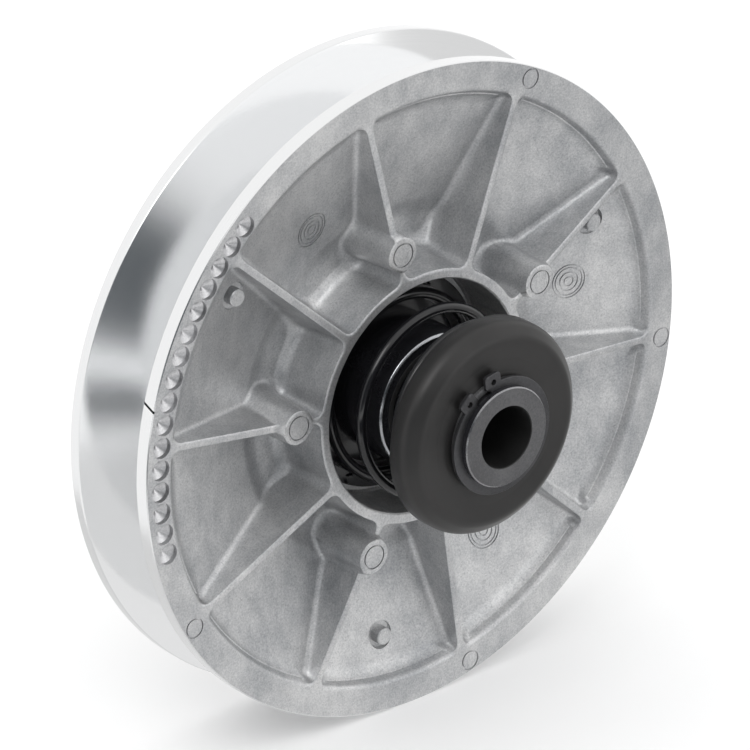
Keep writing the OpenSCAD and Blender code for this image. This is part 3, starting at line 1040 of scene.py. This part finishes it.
def collar_ring():
    """The round rubber ring under the collar."""
    at_r, at_w = O_RING_AT
    half_r, half_w = O_RING_HALF
    section = [(at_r + half_r * math.cos(b), at_w + half_w * math.sin(b)) for b in whole_turn(16)]
    ring = paint(lathe("collar_ring", section, 128), RUBBER)
    return finish_piece(ring, "sliding_half", "seal_rubber", "collar_o_ring")


def lip_seal(name, node, low, high):
    """A seal whose lip runs on the post."""
    middle = (low + high) / 2
    corners = [(POST_R + 0.05, middle), (21.3, low + 0.2), (21.6, low), (SEAL_OUT - 0.3, low),
               (SEAL_OUT, low + 0.3), (SEAL_OUT, high - 0.3), (SEAL_OUT - 0.3, high), (21.6, high),
               (21.3, high - 0.2)]
    seal = paint(lathe(name, corners, 128), RUBBER)
    return finish_piece(seal, "sliding_half", "seal_rubber", node)


def flange_rivets():
    """Domed rivets through the post's flange and the fixed sheave."""
    profile = [(0, -31), (1.8, -30.9), (3.6, -30.3), (4.5, FLANGE_BACK), (3, FLANGE_BACK), (3, -RECESS_W),
               (4.4, -RECESS_W), (4.1, -15.2), (2.4, -14.5), (0, -14.4)]
    turns = [360 / RIVET_COUNT * i for i in range(RIVET_COUNT)]
    rivets = join("flange_rivets", [spot("rivet", profile, RIVET_AT, turn, sides=32) for turn in turns])
    shade(rivets.data)
    return finish_piece(paint(rivets, RIVET_STEEL), "fixed_half", "rivet_steel", "sheave_rivets")


# Nodes whose CAD shape is kept, and the material of each
CAD_LOOKS = {
    "cup_shim": WASHER_STEEL,
    "guide_pin_1": PIN_STEEL, "guide_pin_2": PIN_STEEL, "guide_pin_3": PIN_STEEL,
    "guide_roller_1": PIN_STEEL, "guide_roller_2": PIN_STEEL, "guide_roller_3": PIN_STEEL,
    "cam_tube": TUBE_BLACK, "tube_flange": TUBE_BLACK, "tube_rivets": TUBE_BLACK,
    "front_bushing": BRONZE, "rear_bushing": BRONZE,
    "spring_washer": NYLON, "seat_washer": WASHER_STEEL}

sliding_casting()
fixed_casting()
turned_post()
spring_cup()
circlip()
coil_spring()
seal_collar()
collar_ring()
lip_seal("front_lip", "front_seal", *FRONT_SEAL)
lip_seal("rear_lip", "rear_seal", *REAR_SEAL)
flange_rivets()
for node, material in CAD_LOOKS.items():
    paint(frame["nodes"][node], material)


# ---------------------------------------------------------------- camera, floor and light


def camera():
    """Long lens from the front left and above."""
    azimuth = math.radians(AZIMUTH)
    elevation = math.radians(ELEVATION)
    level = math.cos(elevation)
    right = Vector((math.cos(azimuth), math.sin(azimuth), 0))
    back = Vector((math.sin(azimuth) * level, -math.cos(azimuth) * level, math.sin(elevation)))
    up = back.cross(right)
    data = bpy.data.cameras.new("camera")
    data.lens = LENS_MM
    data.sensor_width = 36
    data.clip_end = 50
    piece = add_object("camera", data)
    rim_centre = Vector((0, -RIM_W * MM, 0))
    place = rim_centre - right * SHIFT_LEFT + up * SHIFT_UP + back * DISTANCE
    turn = Matrix((right, up, back)).transposed().to_4x4()
    piece.matrix_world = Matrix.Translation(place) @ turn
    bpy.context.scene.camera = piece


def floor_material():
    look = Look("white_floor", (0.80, 0.80, 0.80), 0.0, 0.9)
    look.shader.inputs["Specular IOR Level"].default_value = 0.1
    look.shader.inputs["Emission Color"].default_value = (1, 1, 1, 1)
    look.shader.inputs["Emission Strength"].default_value = 0.11
    return look.material


def floor():
    """A white floor, and a small copy of it that is all that reflections show of it."""
    mesh = bpy.data.meshes.new("floor")
    reach = FLOOR_REACH
    corners = [(x * reach, y * reach, FLOOR_Z) for x, y in ((-1, -1), (1, -1), (1, 1), (-1, 1))]
    mesh.from_pydata(corners, [], [(0, 1, 2, 3)])
    piece = add_object("floor", mesh)
    paint(piece, floor_material())
    piece.visible_glossy = False
    near = piece.copy()
    near.data = piece.data.copy()
    near.data.transform(Matrix.Diagonal((NEAR_FLOOR / reach, NEAR_FLOOR / reach, 1, 1)))
    near.name = "near_floor"
    bpy.context.scene.collection.objects.link(near)
    near.visible_glossy = True
    near.visible_camera = False
    near.visible_diffuse = False
    near.visible_shadow = False


def area_light(name, place, target, width, height, power):
    data = bpy.data.lights.new(name, "AREA")
    data.shape = "RECTANGLE"
    data.size = width
    data.size_y = height
    data.energy = power
    piece = add_object(name, data)
    piece.location = place
    aim = Vector(target) - Vector(place)
    piece.rotation_euler = aim.to_track_quat("-Z", "Y").to_euler()


# The studio's brightness by height, from -1 below to 1 above, where its dark gaps are
STUDIO_BANDS = ((-1, 0.9), (-0.46, 0.9), (-0.40, 0.05), (-0.25, 0.06), (-0.21, 1.4), (-0.12, 1.4),
                (-0.08, 0.30), (0.05, 0.12), (0.45, 0.08), (0.58, 0.9), (1, 1.0))
STUDIO_STRENGTH = 1.25


def grey(tone):
    return (tone, tone, tone)


def toward(tree, place, direction, low, high):
    """How far a direction lies towards another one, from 0 at low to 1 at high."""
    dot = tree.nodes.new("ShaderNodeVectorMath")
    dot.operation = "DOT_PRODUCT"
    dot.inputs[1].default_value = Vector(direction).normalized()
    tree.links.new(place, dot.inputs[0])
    share = tree.nodes.new("ShaderNodeMapRange")
    share.interpolation_type = "SMOOTHSTEP"
    share.inputs["From Min"].default_value = low
    share.inputs["From Max"].default_value = high
    tree.links.new(dot.outputs["Value"], share.inputs["Value"])
    return share.outputs[0]


def studio_bands(tree, place):
    """A ramp of greys by height, slightly blue where it is dark."""
    split = tree.nodes.new("ShaderNodeSeparateXYZ")
    tree.links.new(place, split.inputs[0])
    height = tree.nodes.new("ShaderNodeMapRange")
    height.inputs["From Min"].default_value = -1
    tree.links.new(split.outputs["Z"], height.inputs["Value"])
    bands = tree.nodes.new("ShaderNodeValToRGB")
    tree.links.new(height.outputs[0], bands.inputs["Fac"])
    ramp = bands.color_ramp
    while len(ramp.elements) < len(STUDIO_BANDS):
        ramp.elements.new(0.5)
    for element, (z, tone) in zip(ramp.elements, STUDIO_BANDS):
        element.position = (z + 1) / 2
        blue = 0.02 if tone < 0.5 else 0.0
        element.color = (tone, tone + blue / 2, tone + blue, 1)
    return bands.outputs["Color"]


def world():
    """A bright studio that is dimmer low on the right, with dark gaps low in front."""
    scene_world = bpy.data.worlds.new("studio")
    scene_world.use_nodes = True
    tree = scene_world.node_tree
    place = tree.nodes.new("ShaderNodeTexCoord").outputs["Generated"]
    low_right = toward(tree, place, (0.75, -0.15, -0.65), 0.72, 0.99)
    right = toward(tree, place, (0.62, -0.75, -0.2), 0.75, 0.98)
    left = toward(tree, place, (-0.63, -0.77, 0.1), 0.66, 0.80)
    level = mixed(tree, low_right, grey(1.0), grey(0.30))
    level = mixed(tree, right, level, grey(0.62))
    level = mixed(tree, left, level, studio_bands(tree, place))
    background = tree.nodes["Background"]
    tree.links.new(level, background.inputs["Color"])
    background.inputs["Strength"].default_value = STUDIO_STRENGTH
    bpy.context.scene.world = scene_world


camera()
floor()
world()
area_light("key", (-1.4, -0.9, 1.9), target=(0, 0, 0), width=1.2, height=1.2, power=14)
area_light("front_fill", (0.9, -2.2, 0.5), target=(0, 0, 0), width=1.6, height=1.0, power=4)
bpy.context.scene.view_settings.view_transform = "Standard"
